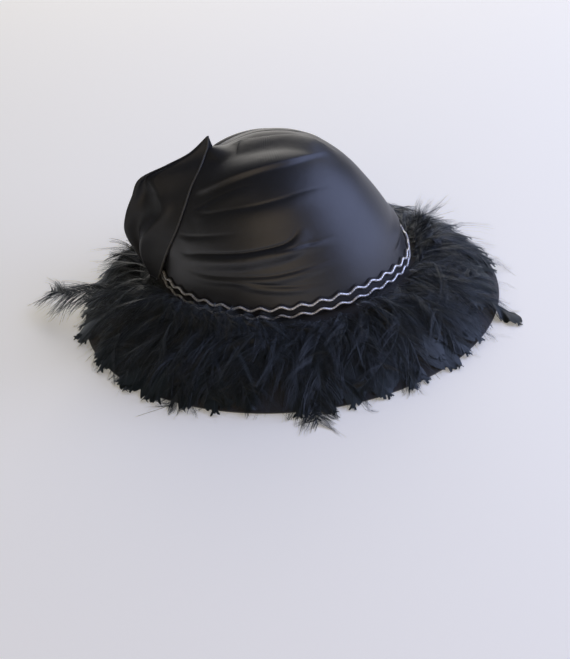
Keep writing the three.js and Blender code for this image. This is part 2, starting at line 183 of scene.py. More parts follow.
def feltMaterial(look):
    material, nodes, links, shader = newMaterial("woolFelt")
    fibre = addTexture(nodes, links, "ShaderNodeTexNoise", Scale=900.0, Detail=8.0, Roughness=0.7)
    cloud = addTexture(nodes, links, "ShaderNodeTexNoise", Scale=30.0, Detail=3.0)
    clouded = nodes.new("ShaderNodeMath")
    clouded.operation = "MULTIPLY"
    shade = nodes.new("ShaderNodeMath")
    shade.operation = "MULTIPLY"
    shade.inputs[1].default_value = look["contrast"]
    links.new(fibre.outputs["Fac"], clouded.inputs[0])
    links.new(cloud.outputs["Fac"], clouded.inputs[1])
    links.new(clouded.outputs[0], shade.inputs[0])
    colourBy(nodes, links, shade.outputs[0], look, 0.3, 0.75, shader)
    bumpBy(nodes, links, fibre, 0.5, 0.0006, shader)
    setFinish(shader, look)
    return material


braidFinish = {"dark": (0.005, 0.005, 0.006), "light": (0.02, 0.02, 0.023), "roughness": 0.7}


def braidMaterial(look):
    material, nodes, links, shader = newMaterial("blackBraid")
    weave = addTexture(nodes, links, "ShaderNodeTexWave", Scale=420.0, Distortion=2.0, Detail=2.0)
    weave.bands_direction = "DIAGONAL"
    colourBy(nodes, links, weave.outputs["Fac"], look, 0.2, 0.9, shader)
    bumpBy(nodes, links, weave, 0.6, 0.0004, shader)
    setFinish(shader, look)
    return material


silverFinish = {"dark": (0.45, 0.43, 0.41), "light": (0.95, 0.94, 0.93), "roughness": 0.36, "metal": 0.6}


def silverMaterial(look):
    material, nodes, links, shader = newMaterial("silverCord")
    thread = addTexture(nodes, links, "ShaderNodeTexNoise", Scale=700.0, Detail=4.0, Roughness=0.6)
    colourBy(nodes, links, thread.outputs["Fac"], look, 0.35, 0.6, shader)
    bumpBy(nodes, links, thread, 0.4, 0.0003, shader)
    setFinish(shader, look)
    return material


# the pale colour is what wisps are mixed towards for painted highlights, and the vane for faint streaks
featherFinish = {
    "fluff": (0.008, 0.011, 0.012), "vane": (0.005, 0.010, 0.011), "paleHighlightAndTone": (0.06, 0.076, 0.084),
    "roughness": 0.46, "specular": 0.42,
    "sheen": 0.46, "sheenTint": (0.70, 0.80, 0.9, 1), "sheenRoughness": 0.4,
}


def featherMaterial(look):
    material, nodes, links, shader = newMaterial("blackFeather")
    vane, tone = (nodes.new("ShaderNodeAttribute") for _ in range(2))
    vane.attribute_name = "vane"
    tone.attribute_name = "tone"
    kind = addRamp(nodes, [(0.0, look["fluff"]), (1.0, look["vane"])])
    # mixes the feather's colour towards the pale painted-highlight colour by the tone attribute
    paleHighlightAndTone = nodes.new("ShaderNodeMix")
    paleHighlightAndTone.data_type = "RGBA"
    paleHighlightAndTone.inputs[7].default_value = (*look["paleHighlightAndTone"], 1)    # the second colour
    links.new(vane.outputs["Fac"], kind.inputs["Fac"])
    links.new(tone.outputs["Fac"], paleHighlightAndTone.inputs[0])
    links.new(kind.outputs["Color"], paleHighlightAndTone.inputs[6])
    links.new(paleHighlightAndTone.outputs[2], shader.inputs["Base Color"])
    setFinish(shader, look)
    return material


satin = satinMaterial("blackSatin", satinFinish)
# the tail's satin: a copy of the crown's satin with painted light in its base colour
tailSatinPaintedLight = satinMaterial("turnedSatinPaintedLight", {**satinFinish, **turnedFinishPaintedLight})
# a copy of the satin painted paler as a highlight along the tail's seam roll
seamHighlightSatin = satinMaterial("seamHighlightSatin", {**satinFinish, **seamHighlightFinish})
felt = feltMaterial(feltFinish)
braid = braidMaterial(braidFinish)
silver = silverMaterial(silverFinish)
plume = featherMaterial(featherFinish)
print("materials made")


# the crown's and the brim's shape, as in the part's source, in metres

crown = {
    "halfWidth": 0.088, "halfLength": 0.100,   # satin's outside at the braid
    "foot": 0.046, "rise": 0.097, "squareness": 2.68, "taper": 0.265,
    "slimSide": 300, "slimShare": 0.045, "slimFull": 0.35,    # a little slimmer to the front left, high up
}
brim = {"top": 0.036, "width": 0.0705, "edge": 0.0016, "bow": 0.18}
mm = 0.001
ringGap = 0.01         # how far apart rings are stacked before they are laid in place
weldGap = 0.000002     # points closer than this are one


def smoothStep(value, low, high):
    t = np.clip((value - low) / (high - low), 0, 1)
    return t * t * (3 - 2 * t)


def domeShape(share):
    turn = np.clip(share, 0, 1) * np.pi / 2
    height = np.sin(turn) ** (2 / crown["squareness"])
    radius = np.clip(np.cos(turn), 0, 1) ** (2 / crown["squareness"]) * (1 - crown["taper"] * height)
    return radius, height


def slimmed(angle, share):
    facing = (1 + np.cos(angle - math.radians(crown["slimSide"]))) / 2
    return 1 - crown["slimShare"] * facing ** 2 * smoothStep(share, 0, crown["slimFull"])


def crownPoint(angle, share, offset):
    radius, height = domeShape(share)
    step = 0.001
    lowRadius, lowHeight = domeShape(np.maximum(share - step, 0))
    highRadius, highHeight = domeShape(np.minimum(share + step, 1))
    inward = (lowRadius - highRadius) * (crown["halfWidth"] + crown["halfLength"]) / 2
    upward = (highHeight - lowHeight) * crown["rise"]
    length = np.hypot(inward, upward)
    out = offset * upward / length
    radius = radius * slimmed(angle, share)
    return np.stack(np.broadcast_arrays(
        (crown["halfWidth"] * radius + out) * np.cos(angle),
        (crown["halfLength"] * radius + out) * np.sin(angle),
        crown["foot"] + crown["rise"] * height + offset * inward / length), axis=-1)


def wallPoint(angle, height, offset):
    return np.stack(np.broadcast_arrays(
        (crown["halfWidth"] + offset) * np.cos(angle),
        (crown["halfLength"] + offset) * np.sin(angle), height), axis=-1)


def shareAtHeight(height):
    rise = np.clip((height - crown["foot"]) / crown["rise"], 0, 1)
    return np.arcsin(rise ** (crown["squareness"] / 2)) / (np.pi / 2)


def skinPoint(angle, height, offset):
    # off the satin's skin at any height, wall or dome
    lean = domeShape(shareAtHeight(height))[0] * slimmed(angle, shareAtHeight(height))
    return np.stack(np.broadcast_arrays(
        (crown["halfWidth"] * lean + offset) * np.cos(angle),
        (crown["halfLength"] * lean + offset) * np.sin(angle), height), axis=-1)


def brimHeight(reach):
    share = reach / brim["width"]
    fall = share * (1 - brim["bow"]) + share * share * brim["bow"]
    return brim["top"] - (brim["top"] - brim["edge"]) * fall


def brimPoint(angle, reach, offset):
    slope = (brimHeight(reach + mm / 2) - brimHeight(reach - mm / 2)) / mm
    length = np.hypot(1, slope)
    return wallPoint(angle, brimHeight(reach) + offset / length, reach - offset * slope / length)


def unit(v):
    return v / np.maximum(np.linalg.norm(v, axis=-1, keepdims=True), 1e-12)


def curveThrough(stops, count):
    # a smooth curve that passes through every stop
    stops = np.asarray(stops, float)
    padded = np.vstack([2 * stops[0] - stops[1], stops, 2 * stops[-1] - stops[-2]])
    place = np.linspace(0, len(stops) - 1, count)
    part = np.minimum(place.astype(int), len(stops) - 2)
    t = (place - part)[:, None]
    a, b, c, d = (padded[part + i] for i in range(4))
    square = 2 * a - 5 * b + 4 * c - d
    cube = 3 * b - a - 3 * c + d
    return 0.5 * (2 * b + (c - a) * t + square * t ** 2 + cube * t ** 3)


def finishPiece(piece, material, slotName, *nodes):
    piece.data.materials.clear()
    piece.data.materials.append(material)
    bpy.ops.object.select_all(action="DESELECT")
    piece.select_set(True)
    bpy.context.view_layer.objects.active = piece
    bpy.ops.object.transform_apply(location=True, rotation=True, scale=True)
    bpy.ops.object.shade_smooth()
    piece.select_set(False)
    if nodes:
        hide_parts(*nodes)
    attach(piece, "root")


def setPoints(piece, points):
    piece.data.vertices.foreach_set("co", np.ascontiguousarray(points, dtype=np.float32).ravel())
    piece.data.update()


def getPoints(piece):
    points = np.empty(len(piece.data.vertices) * 3, np.float32)
    piece.data.vertices.foreach_get("co", points)
    return points.reshape(-1, 3).astype(float)


# felt crown and brim, drawn out ring by ring from the brim's edge

feltBody = {
    "segments": 128, "wall": 0.0024, "underSatin": 0.0017, "edgeHeight": 0.0022, "edgeRound": 0.0007,
    "brimRings": 16, "brimEnds": 0.02, "domeRings": 26, "domeEnds": 0.97, "topStep": 0.0002,
    "bendHeights": (0.0368, 0.0385, 0.042),    # where the brim turns up into the crown
}


def ringsUp(name, rings, segments):
    bpy.ops.mesh.primitive_circle_add(vertices=segments, radius=1.0, location=(0, 0, 0))
    piece = bpy.context.object
    piece.name = name
    bpy.ops.object.mode_set(mode="EDIT")
    bpy.ops.mesh.select_all(action="SELECT")
    wide, long, high = rings[0]
    bpy.ops.transform.resize(value=(wide, long, 1))
    bpy.ops.transform.translate(value=(0, 0, high))
    for nextWide, nextLong, nextHigh in rings[1:]:
        bpy.ops.mesh.extrude_region_move(TRANSFORM_OT_translate={"value": (0, 0, nextHigh - high)})
        bpy.ops.transform.resize(value=(nextWide / wide, nextLong / long, 1))
        wide, long, high = nextWide, nextLong, nextHigh
    bpy.ops.object.mode_set(mode="OBJECT")
    return piece


def weldAndFaceOut():
    bpy.ops.object.mode_set(mode="EDIT")
    bpy.ops.mesh.select_all(action="SELECT")
    bpy.ops.mesh.remove_doubles(threshold=weldGap)
    bpy.ops.mesh.normals_make_consistent(inside=False)
    bpy.ops.object.mode_set(mode="OBJECT")


def applyModifier(piece, kind, **settings):
    modifier = piece.modifiers.new(kind.title(), kind)
    for name, value in settings.items():
        setattr(modifier, name, value)
    bpy.context.view_layer.objects.active = piece
    bpy.ops.object.modifier_apply(modifier=modifier.name)


def makeFelt(part):
    rings = []
    for share in np.linspace(1, part["brimEnds"], part["brimRings"]):
        wide, _, high = brimPoint(0.0, brim["width"] * share, 0.0)
        rings.append((wide, wide + crown["halfLength"] - crown["halfWidth"], high))
    rings[0] = (rings[0][0], rings[0][1], part["edgeHeight"])
    deep = part["underSatin"]
    for height in part["bendHeights"]:
        rings.append((crown["halfWidth"] - deep, crown["halfLength"] - deep, height))
    for share in np.linspace(0, part["domeEnds"], part["domeRings"]):
        radius, _ = domeShape(share)
        _, _, high = crownPoint(0.0, share, -deep)
        rings.append((crown["halfWidth"] * radius - deep, crown["halfLength"] * radius - deep, high))
    piece = ringsUp("felt_crown_and_brim", rings, part["segments"])
    bpy.ops.object.mode_set(mode="EDIT")
    bpy.ops.mesh.extrude_region_move(TRANSFORM_OT_translate={"value": (0, 0, part["topStep"])})
    bpy.ops.mesh.merge(type="CENTER")    # the last ring becomes the top's middle point
    bpy.ops.object.mode_set(mode="OBJECT")
    weldAndFaceOut()
    points = getPoints(piece)
    angle = np.arctan2(points[:, 1] / crown["halfLength"], points[:, 0] / crown["halfWidth"])
    points[:, :2] *= slimmed(angle, shareAtHeight(points[:, 2] + deep))[:, None]
    setPoints(piece, points)
    applyModifier(piece, "SOLIDIFY", thickness=part["wall"], offset=-1.0)
    applyModifier(piece, "BEVEL", width=part["edgeRound"], segments=2, limit_method="ANGLE",
                  angle_limit=math.radians(60))
    finishPiece(piece, felt, "felt", "felt_body")


makeFelt(feltBody)
print("felt made")


# the braid's shape, which the satin's lowest folds follow

braidShape = {
    "waves": 40, "stepsPerWave": 14, "waveHeight": 0.0012, "scallop": 1.9,
    "middle": 0.0429, "halfHeight": 0.0052, "rings": 9, "lift": 0.0002, "wall": 0.0006,
    "rise": 0.0047, "riseMiddle": 245, "riseBefore": 62, "riseAfter": 46,    # it stands higher at the front
    "cordSpread": 0.0035, "cordRadius": 0.00108, "cordStandsOff": 0.9,       # the last one in radii
    "cordSteps": 34, "cordSides": 10, "twistsPerWave": 8, "twistDepth": 0.24,
}


def braidRise(angle, part):
    # how much higher the braid stands at an angle
    turn = (np.degrees(angle) - part["riseMiddle"] + 180) % 360 - 180
    before = smoothStep(-turn, 0, part["riseBefore"])
    after = smoothStep(turn, 0, part["riseAfter"])
    return part["rise"] * (1 - before) * (1 - after)


# satin over the crown: pleats fan out from the tail's seam edge

drape = {
    "segments": 430, "outerRings": 190, "wallRings": 8, "innerRings": 12, "wall": 0.0008,
    "hem": 0.0384, "freeAbove": (0.048, 0.058), "lineSteps": 90,
    "cut": (0.34, 0.36),    # hem to hem over the crown, and a tenth more that the pleats take up
}
# stops are (angle in degrees, share of the dome's quarter turn); height, lip and width are millimetres: the
# pleat climbs over its lip from the line of its stops and sinks again over its width. side is 1 where it
# stands above or behind that line as the photograph shows it, and -1 below; full says between which shares
# of its line it is at full height, and crisp whether its foot or its crest is the sharp edge
plainPleat = {"side": -1, "crisp": "foot"}
pleats = [
    {"stops": [(108, 0.75), (96, 0.86), (92, 0.95), (318, 0.93), (306, 0.80), (303, 0.68), (306, 0.54)],
     "height": 3.8, "lip": 3.2, "width": 20, "full": (0.45, 0.7), "crisp": "crest"},
    {"stops": [(100, 0.72), (86, 0.82), (62, 0.88), (350, 0.88), (320, 0.80), (312, 0.66), (316, 0.52)],
     "height": 1.2, "lip": 8, "width": 14, "side": 1, "full": (0.5, 0.7), "crisp": "crest"},
    {"stops": [(268, 0.035), (285, 0.04), (305, 0.045), (330, 0.045), (350, 0.04)],
     "height": 1.8, "lip": 3, "width": 12, "side": 1, "full": (0.3, 0.7)},
    {"stops": [(141, 0.39), (150, 0.455), (164, 0.555), (188, 0.665), (228, 0.715), (266, 0.675),
               (292, 0.57)],
     "height": 2.7, "lip": 4.5, "width": 24, "side": 1, "full": (0.2, 0.6), "crisp": "crest"},
    {"stops": [(140, 0.30), (150, 0.345), (161, 0.375), (188, 0.455), (209, 0.495), (223, 0.515),
               (245, 0.505), (261, 0.465)],
     "height": 1.0, "lip": 8, "width": 15, "full": (0.35, 0.6)},
    {"stops": [(140, 0.12), (150, 0.13), (161, 0.16), (177, 0.19), (189, 0.21), (205, 0.24), (213, 0.27),
               (219, 0.34)],
     "height": 3.0, "lip": 6, "width": 9, "full": (0.5, 0.74)},
    {"stops": [(196, 0.195), (211, 0.22), (218, 0.23), (226, 0.23), (240, 0.23)],
     "height": 1.1, "lip": 3, "width": 6, "full": (0.3, 0.6)},
    {"stops": [(139, 0.06), (163, 0.075), (178, 0.09), (198, 0.105), (208, 0.115), (221, 0.13), (236, 0.14)],
     "height": 1.2, "lip": 3.5, "width": 5, "full": (0.4, 0.7)},
    {"stops": [(178, 0.085), (190, 0.075), (202, 0.065), (214, 0.06), (230, 0.055)],
     "height": 1.0, "lip": 3, "width": 5, "full": (0.3, 0.6)},
    {"stops": [(144, 0.33), (152, 0.40), (163, 0.49), (178, 0.57), (196, 0.61)],
     "height": 0.8, "lip": 5, "width": 8, "full": (0.2, 0.5)},
    {"stops": [(140, 0.19), (152, 0.22), (170, 0.27), (190, 0.31)],
     "height": 0.8, "lip": 5, "width": 10, "full": (0.3, 0.5)},
    {"stops": [(108, 0.66), (92, 0.78), (55, 0.86), (10, 0.87), (338, 0.80), (322, 0.68)],
     "height": 1.8, "lip": 6, "width": 12, "full": (0.5, 0.7)},
    {"stops": [(99, 0.50), (80, 0.62), (45, 0.68), (10, 0.64), (350, 0.52)],
     "height": 2.4, "lip": 5, "width": 13, "side": 1, "full": (0.25, 0.5)},
    {"stops": [(99, 0.34), (78, 0.42), (50, 0.46), (22, 0.42), (5, 0.34)],
     "height": 2.2, "lip": 5, "width": 11, "side": 1, "full": (0.25, 0.5)},
    {"stops": [(99, 0.20), (78, 0.25), (52, 0.26), (30, 0.20)],
     "height": 2.0, "lip": 4, "width": 9, "side": 1, "full": (0.25, 0.5)},
    {"stops": [(99, 0.10), (80, 0.12), (60, 0.12), (42, 0.09)],
     "height": 1.4, "lip": 3, "width": 6, "side": 1, "full": (0.25, 0.5)},
]
# the groove under a pleat's edge: its depth as a share of the pleat's height, and how far it reaches below
# and above the line and past the line's ends, in millimetres
groove = {"share": 0.5, "below": 0.8, "above": 2.2, "ends": 4.0}
pointsAtOnce = 8000    # keeps the search for the nearest stop small


def climbOver(signed, lip, crisp):
    t = np.clip(signed / lip, 0, 1)
    return t * t * (1.5 - 0.5 * t) if crisp == "crest" else 1 - (1 - t) ** 2


def pleatLift(points, rows):
    lift = np.zeros(len(points))
    for row in ({**plainPleat, **pleat} for pleat in rows):
        stops = np.array([crownPoint(math.radians(angle), share, 0.0) for angle, share in row["stops"]])
        line = curveThrough(stops, drape["lineSteps"])
        along = unit(np.gradient(line, axis=0))
        outward = unit(line - np.array([0, 0, crown["foot"]]))
        across = np.cross(outward, along)
        nearest = np.empty(len(points), int)
        for start in range(0, len(points), pointsAtOnce):
            part = points[start:start + pointsAtOnce]
            distance = ((part[:, None, :] - line[None, :, :]) ** 2).sum(-1)
            nearest[start:start + pointsAtOnce] = distance.argmin(1)
        off = points - line[nearest]
        beyond = np.abs((off * along[nearest]).sum(1))
        signed = (off * across[nearest]).sum(1) * row["side"] / mm
        share = nearest / (len(line) - 1)
        rising, falling = row["full"]
        height = row["height"] * mm * smoothStep(share, 0, rising) * (1 - smoothStep(share, falling, 1))
        climb = climbOver(signed, row["lip"], row["crisp"])
        sink = 1 - smoothStep(signed, row["lip"], row["lip"] + row["width"])
        reach = np.where(signed < 0, groove["below"], groove["above"])
        valley = groove["share"] * (row["crisp"] == "foot") * np.exp(-(signed / reach) ** 2)
        lift += height * (climb * sink - valley) * np.exp(-(beyond / mm / groove["ends"]) ** 2)
    angle = np.arctan2(points[:, 1] / crown["halfLength"], points[:, 0] / crown["halfWidth"])
    low, high = drape["freeAbove"]
    raised = braidRise(angle, braidShape)
    return lift * smoothStep(points[:, 2] - raised, low, high)


# the drape climbs to the tail's seam edge: how far it stays below it, how high it climbs at most, and how
# wide its slopes are, in millimetres
seamRise = {
    "below": 0.9, "most": 8.5, "near": 0.5, "frontSlope": 17, "tailSlope": 5, "roundness": 0.7, "ends": 9,
    "steps": 120, "freeAbove": (0.048, 0.075),
}


def seamLift(points, part):
    seam = curveThrough([tailStops(row, tail)[2] for row in tailRows], part["steps"])
    foot = curveThrough([tailFoot(row) for row in tailRows], part["steps"])
    top = np.minimum(np.linalg.norm(seam - foot, axis=1) / mm - part["below"], part["most"])
    along = unit(np.gradient(foot, axis=0))
    outward = unit(foot - np.array([0, 0, crown["foot"]]))
    across = np.cross(along, outward)
    nearest = ((points[:, None, :] - foot[None, :, :]) ** 2).sum(-1).argmin(1)
    off = points - foot[nearest]
    signed = (off * across[nearest]).sum(1) / mm
    beyond = np.abs((off * along[nearest]).sum(1)) / mm
    right = 1 - smoothStep(signed, part["near"], part["frontSlope"]) ** part["roundness"]
    left = 1 - smoothStep(-signed, part["near"], part["tailSlope"])
    slope = np.where(signed > 0, right, left)
    rise = top[nearest] * mm * slope * np.exp(-(beyond / part["ends"]) ** 2)
    low, high = part["freeAbove"]
    return rise * smoothStep(points[:, 2], low, high)


def evenShares(count):
    # shares that stand evenly apart along the dome's outline
    share = np.linspace(0, 1, 4000)
    line = crownPoint(np.pi / 4, share, 0.0)
    length = np.concatenate([[0], np.cumsum(np.linalg.norm(np.diff(line, axis=0), axis=1))])
    return np.interp(np.linspace(0, length[-1], count), length, share)


def ballRows(name, segments, rings):
    # a ball, with the number of each point's ring from the top and its angle
    bpy.ops.mesh.primitive_uv_sphere_add(segments=segments, ring_count=rings + 1, radius=1.0)
    piece = bpy.context.object
    piece.name = name
    points = getPoints(piece)
    ring = np.rint(np.arccos(np.clip(points[:, 2], -1, 1)) / np.pi * (rings + 1)).astype(int)
    angle = np.arctan2(points[:, 1], points[:, 0])
    return piece, ring, angle


def makeSatinCover(part):
    domeRings = part["outerRings"] - part["wallRings"]
    rings = part["outerRings"] + part["innerRings"]
    piece, ring, angle = ballRows("satin_drape", part["segments"], rings)
    shares = evenShares(domeRings + 1)[::-1]            # from the top down to the dome's foot
    points = np.empty((len(ring), 3))
    dome = ring <= domeRings
    share = shares[np.minimum(ring, domeRings)]
    plain = crownPoint(angle, share, 0.0)
    lift = np.zeros(len(ring))
    lift[dome] = pleatLift(plain[dome], pleats) + seamLift(plain[dome], seamRise)
    points[dome] = crownPoint(angle[dome], share[dome], lift[dome])
    points[ring == 0] = points[ring == 1].mean(0)
    wall = (ring > domeRings) & (ring <= part["outerRings"])
    down = (ring[wall] - domeRings) / part["wallRings"]
    points[wall] = wallPoint(angle[wall], crown["foot"] + (part["hem"] - crown["foot"]) * down, 0.0)
    inner = ring > part["outerRings"]
    back = (ring[inner] - part["outerRings"] - 1) / part["innerRings"]
    evenly = evenShares(200)
    points[inner] = crownPoint(angle[inner], np.interp(back, np.linspace(0, 1, 200), evenly), -part["wall"])
    first = ring == part["outerRings"] + 1
    points[first] = wallPoint(angle[first], part["hem"], -part["wall"])
    setPoints(piece, points)
    applyModifier(piece, "SMOOTH", factor=0.5, iterations=2)
    finishPiece(piece, satin, "satin", "satin_cover")


# satin tail: a folded sheet from the seam edge, out to its outer fold and back to the crown

tail = {
    "rowsUp": 104, "pointsAcross": 140, "wall": 0.0007, "cutHeight": 0.11,
    "tip": {"angle": 117, "height": 136.5, "lift": 17}, "tipSize": 0.05,
    "tuck": 3.5, "turnUnder": 0.6, "underSeam": 1.3, "overBraid": 4.6, "overSatin": 1.2, "backSwell": 5.0,
    "braidHeight": 50,    # a row whose seam is lower than this stands off the braid
}
# from the hem up, as in the part's source: degrees and millimetres; ridge is the share of the way from the
# seam to the outer fold where the face's one fold stands
tailColumns = ("seam", "seamHeight", "seamLift", "outer", "radius", "outerHeight", "back", "backHeight",
               "ridge", "swell")
tailRows = [dict(zip(tailColumns, row)) for row in (
    (129.5, 41, 6.6, 118, 108, 41, 104, 44, 0.68, 2),
    (136, 66, 5, 118, 117, 63, 103, 66, 0.64, 5),
    (140.5, 87, 4.5, 118, 121.5, 80, 102, 80, 0.52, 6),
    (140.5, 104, 4.5, 118, 118, 95, 102, 94, 0.34, 4),
    (136, 117, 4.5, 118, 111, 109, 103, 106, 0.52, 4),
    (131.5, 126, 5, 118, 102.5, 123.5, 104, 117, 0.74, 2.5),
    (124, 131.5, 7, 118, 80, 132.5, 107, 126, 0.7, 1.2),
    (119.5, 134.5, 10.5, 117, 61, 140, 108, 131, 0.6, 0.4),
)]


def polarPoint(degrees, radius, height):
    turn = math.radians(degrees)
    return np.array([radius * math.cos(turn), radius * math.sin(turn), height])


def tailStops(row, part):
    # one row of stops: tucked under the seam, out over the front face, round the outer fold and back
    share = shareAtHeight(row["seamHeight"] * mm)
    low = row["seamHeight"] < part["braidHeight"]
    off = part["overBraid" if low else "overSatin"] * mm

    def bySeam(degrees, lift):
        if low:
            return wallPoint(math.radians(degrees), row["seamHeight"] * mm, lift)
        return crownPoint(math.radians(degrees), share, lift)

    tucked = bySeam(row["seam"] - part["tuck"], off)
    under = bySeam(row["seam"] - part["turnUnder"], (row["seamLift"] - part["underSeam"]) * mm)
    seam = bySeam(row["seam"], row["seamLift"] * mm)
    outer = polarPoint(row["outer"], row["radius"] * mm, row["outerHeight"] * mm)
    if low:
        back = wallPoint(math.radians(row["back"]), row["backHeight"] * mm, off)
    else:
        back = crownPoint(math.radians(row["back"]), shareAtHeight(row["backHeight"] * mm), off)
    facing = unit(np.cross(outer - seam, (0, 0, -1)))
    ridge = row["ridge"]
    # share of the way from the seam to the outer fold, and of the swell
    front = [(0.03, 0.06), (ridge / 2, 0.45), (ridge - 0.07, 0.92), (ridge, 1), (ridge + 0.07, 0.66),
             (ridge * 0.45 + 0.55, -0.8), (0.95, 0.0)]
    points = [tucked, under, seam]
    points += [seam + (outer - seam) * along + facing * row["swell"] * mm * out for along, out in front]
    points += [outer]
    side = polarPoint(row["outer"] - 12, part["backSwell"] * mm, 0)
    points += [outer + (back - outer) * along + side * math.sin(math.pi * along)
               for along in (0.05, 0.35, 0.7, 1)]
    return np.array(points)


def tailFoot(row):
    return crownPoint(math.radians(row["seam"]), shareAtHeight(row["seamHeight"] * mm), 0.0)


def tailTip(part):
    tip = part["tip"]
    return crownPoint(math.radians(tip["angle"]), shareAtHeight(tip["height"] * mm), tip["lift"] * mm)


def makeTail(part):
    rows = [tailStops(row, part) for row in tailRows]
    rows.append(tailTip(part) + (rows[-1] - tailTip(part)) * part["tipSize"])
    across = np.array([curveThrough(row, part["pointsAcross"]) for row in rows])
    grid = np.stack([curveThrough(line, part["rowsUp"]) for line in across.transpose(1, 0, 2)], axis=1)
    columns, ups = part["pointsAcross"] - 1, part["rowsUp"] - 1
    bpy.ops.mesh.primitive_grid_add(x_subdivisions=columns, y_subdivisions=ups, size=2.0)
    piece = bpy.context.object
    piece.name = "satin_tail_fold"
    points = getPoints(piece)
    column = np.rint((points[:, 0] + 1) / 2 * columns).astype(int)
    row = np.rint((points[:, 1] + 1) / 2 * ups).astype(int)
    setPoints(piece, grid[row, column])
    applyModifier(piece, "SOLIDIFY", thickness=part["wall"], offset=0.0)
    finishPiece(piece, tailSatinPaintedLight, "satin", "satin_tail")


def roundRope(name, line, radius, sides):
    # rings stacked up, then laid along the line and drawn to a point at both ends
    piece = ringsUp(name, [(1, 1, ringGap * ring) for ring in range(len(line))], sides)
    points = getPoints(piece)
    ring = np.rint(points[:, 2] / ringGap).astype(int)
    around = np.arctan2(points[:, 1], points[:, 0])
    tangent = unit(np.gradient(line, axis=0))
    first = unit(np.cross(tangent, (0.3, 0.2, 1.0)))
    second = np.cross(tangent, first)
    size = radius * np.sqrt(np.clip(1 - np.linspace(-1, 1, len(line)) ** 40, 0, 1))
    setPoints(piece, line[ring] + size[ring, None] * (
        first[ring] * np.cos(around)[:, None] + second[ring] * np.sin(around)[:, None]))
    weldAndFaceOut()
    return piece


seamRoll = {"radius": 0.0009, "sides": 12, "steps": 160}


def makeSeamRoll(part):
    stops = [tailStops(row, tail)[2] for row in tailRows]
    stops.append(tailTip(tail))
    piece = roundRope("satin_tail_seam", curveThrough(stops, part["steps"]), part["radius"], part["sides"])
    finishPiece(piece, seamHighlightSatin, "satin")


makeSatinCover(drape)
print("satin drape made")
makeTail(tail)
makeSeamRoll(seamRoll)
print("satin tail made")


# braid: a waved ribbon with two silver cords

def waveAt(angle, part):
    turn = (angle * part["waves"] / (2 * np.pi)) % 1.0
    scallop = 1 - 2 * np.abs(np.cos(np.pi * turn)) ** part["scallop"]
    return part["waveHeight"] * scallop + braidRise(angle, part)


def makeRibbon(part):
    rings = [(crown["halfWidth"] + part["lift"], crown["halfLength"] + part["lift"],
              part["middle"] + part["halfHeight"] * place) for place in np.linspace(-1, 1, part["rings"])]
    piece = ringsUp("braid_band", rings, part["waves"] * part["stepsPerWave"])
    points = getPoints(piece)
    angle = np.arctan2(points[:, 1] / crown["halfLength"], points[:, 0] / crown["halfWidth"])
    setPoints(piece, skinPoint(angle, points[:, 2] + waveAt(angle, part), part["lift"]))
    weldAndFaceOut()
    applyModifier(piece, "SOLIDIFY", thickness=part["wall"], offset=1.0)
    finishPiece(piece, braid, "braid", "braid_ribbon")


def closedTube(name, steps, sides, place):
    # sides + 1 rings stacked up, laid round the tube by place(angle, around), then welded along the seam
    piece = ringsUp(name, [(1, 1, ringGap * ring) for ring in range(sides + 1)], steps)
    points = getPoints(piece)
    angle = np.arctan2(points[:, 1], points[:, 0])
    around = 2 * np.pi * np.rint(points[:, 2] / ringGap) / sides
    setPoints(piece, place(angle, around))
    weldAndFaceOut()
    return piece


def makeCord(part, name, node, height):
    centre = part["lift"] + part["wall"] + part["cordRadius"] * part["cordStandsOff"]

    def place(angle, around):
        twist = np.cos(2 * around + angle * part["waves"] * part["twistsPerWave"])
        radius = part["cordRadius"] * (1 - part["twistDepth"] * (1 + twist) / 2)
        middle = skinPoint(angle, height + waveAt(angle, part), centre + radius * np.cos(around))
        middle[:, 2] += radius * np.sin(around)
        return middle

    piece = closedTube(name, part["waves"] * part["cordSteps"], part["cordSides"], place)
    finishPiece(piece, silver, "silver", node)


makeRibbon(braidShape)
for end, side in (("upper", 1), ("lower", -1)):
    cordHeight = braidShape["middle"] + side * braidShape["cordSpread"]
    makeCord(braidShape, "silver_twist_" + end, "silver_cord_" + end, cordHeight)
print("braid made")


# feathers: a shaft with barbs, soft near the root and laid close into a smooth vane near the tip

# millimetres, degrees and shares: half is the half width, vane the share of the shaft with a smooth vane, and
# end how far the tips stop short of the trim's outline
featherLayers = [
    {"name": "feathers_lower", "count": 60, "root": (14, 24), "end": (-2, 5), "lift": (1, 2.5),
     "half": (8, 12), "vane": (0.45, 0.7), "sweep": 10, "fluff": 0.1, "tipLift": 1},
    {"name": "feathers_middle", "count": 70, "root": (5, 14), "end": (0, 18), "lift": (2.5, 5.5),
     "half": (9, 13), "vane": (0.0, 0.4), "sweep": 16, "fluff": 0.4, "tipLift": 2.5},
    {"name": "feathers_upper", "count": 78, "root": (2.5, 9), "end": (10, 36), "lift": (5, 9.5),
     "half": (11, 17), "vane": (0.0, 0.12), "sweep": 24, "fluff": 0.6, "tipLift": 3},
    {"name": "feathers_down", "count": 84, "root": (2, 5), "end": (44, 56), "lift": (3, 7),
     "half": (7, 11), "vane": (0.0, 0.0), "sweep": 25, "fluff": 0.8, "tipLift": 0},
]
# the trim's outline: angle in degrees, reach from the crown's foot, lift of the tips, and how thick it lies
trimOutline = [
    (0, 74, 2, 0.4), (40, 76, 2, 0.6), (88, 74, 1, 0.7), (101, 72, 1, 0.7), (112, 72, 1, 0.8),
    (125, 75, 1, 1), (140, 75, 1, 1.1), (152, 79, 1, 1), (165, 79, 1, 1), (176, 77, 1, 1), (186, 70, 1, 1),
    (195, 71, 1, 1), (205, 77, 0, 1), (216, 80, 0, 1), (230, 76, 0, 1), (243, 78, 0, 1), (257, 77, 1, 1),
    (271, 69, 2, 1), (298, 67, 2, 1), (317, 69, 2, 0.7), (334, 74, 2, 0.5), (348, 74, 2, 0.4),
    (360, 74, 2, 0.4),
]
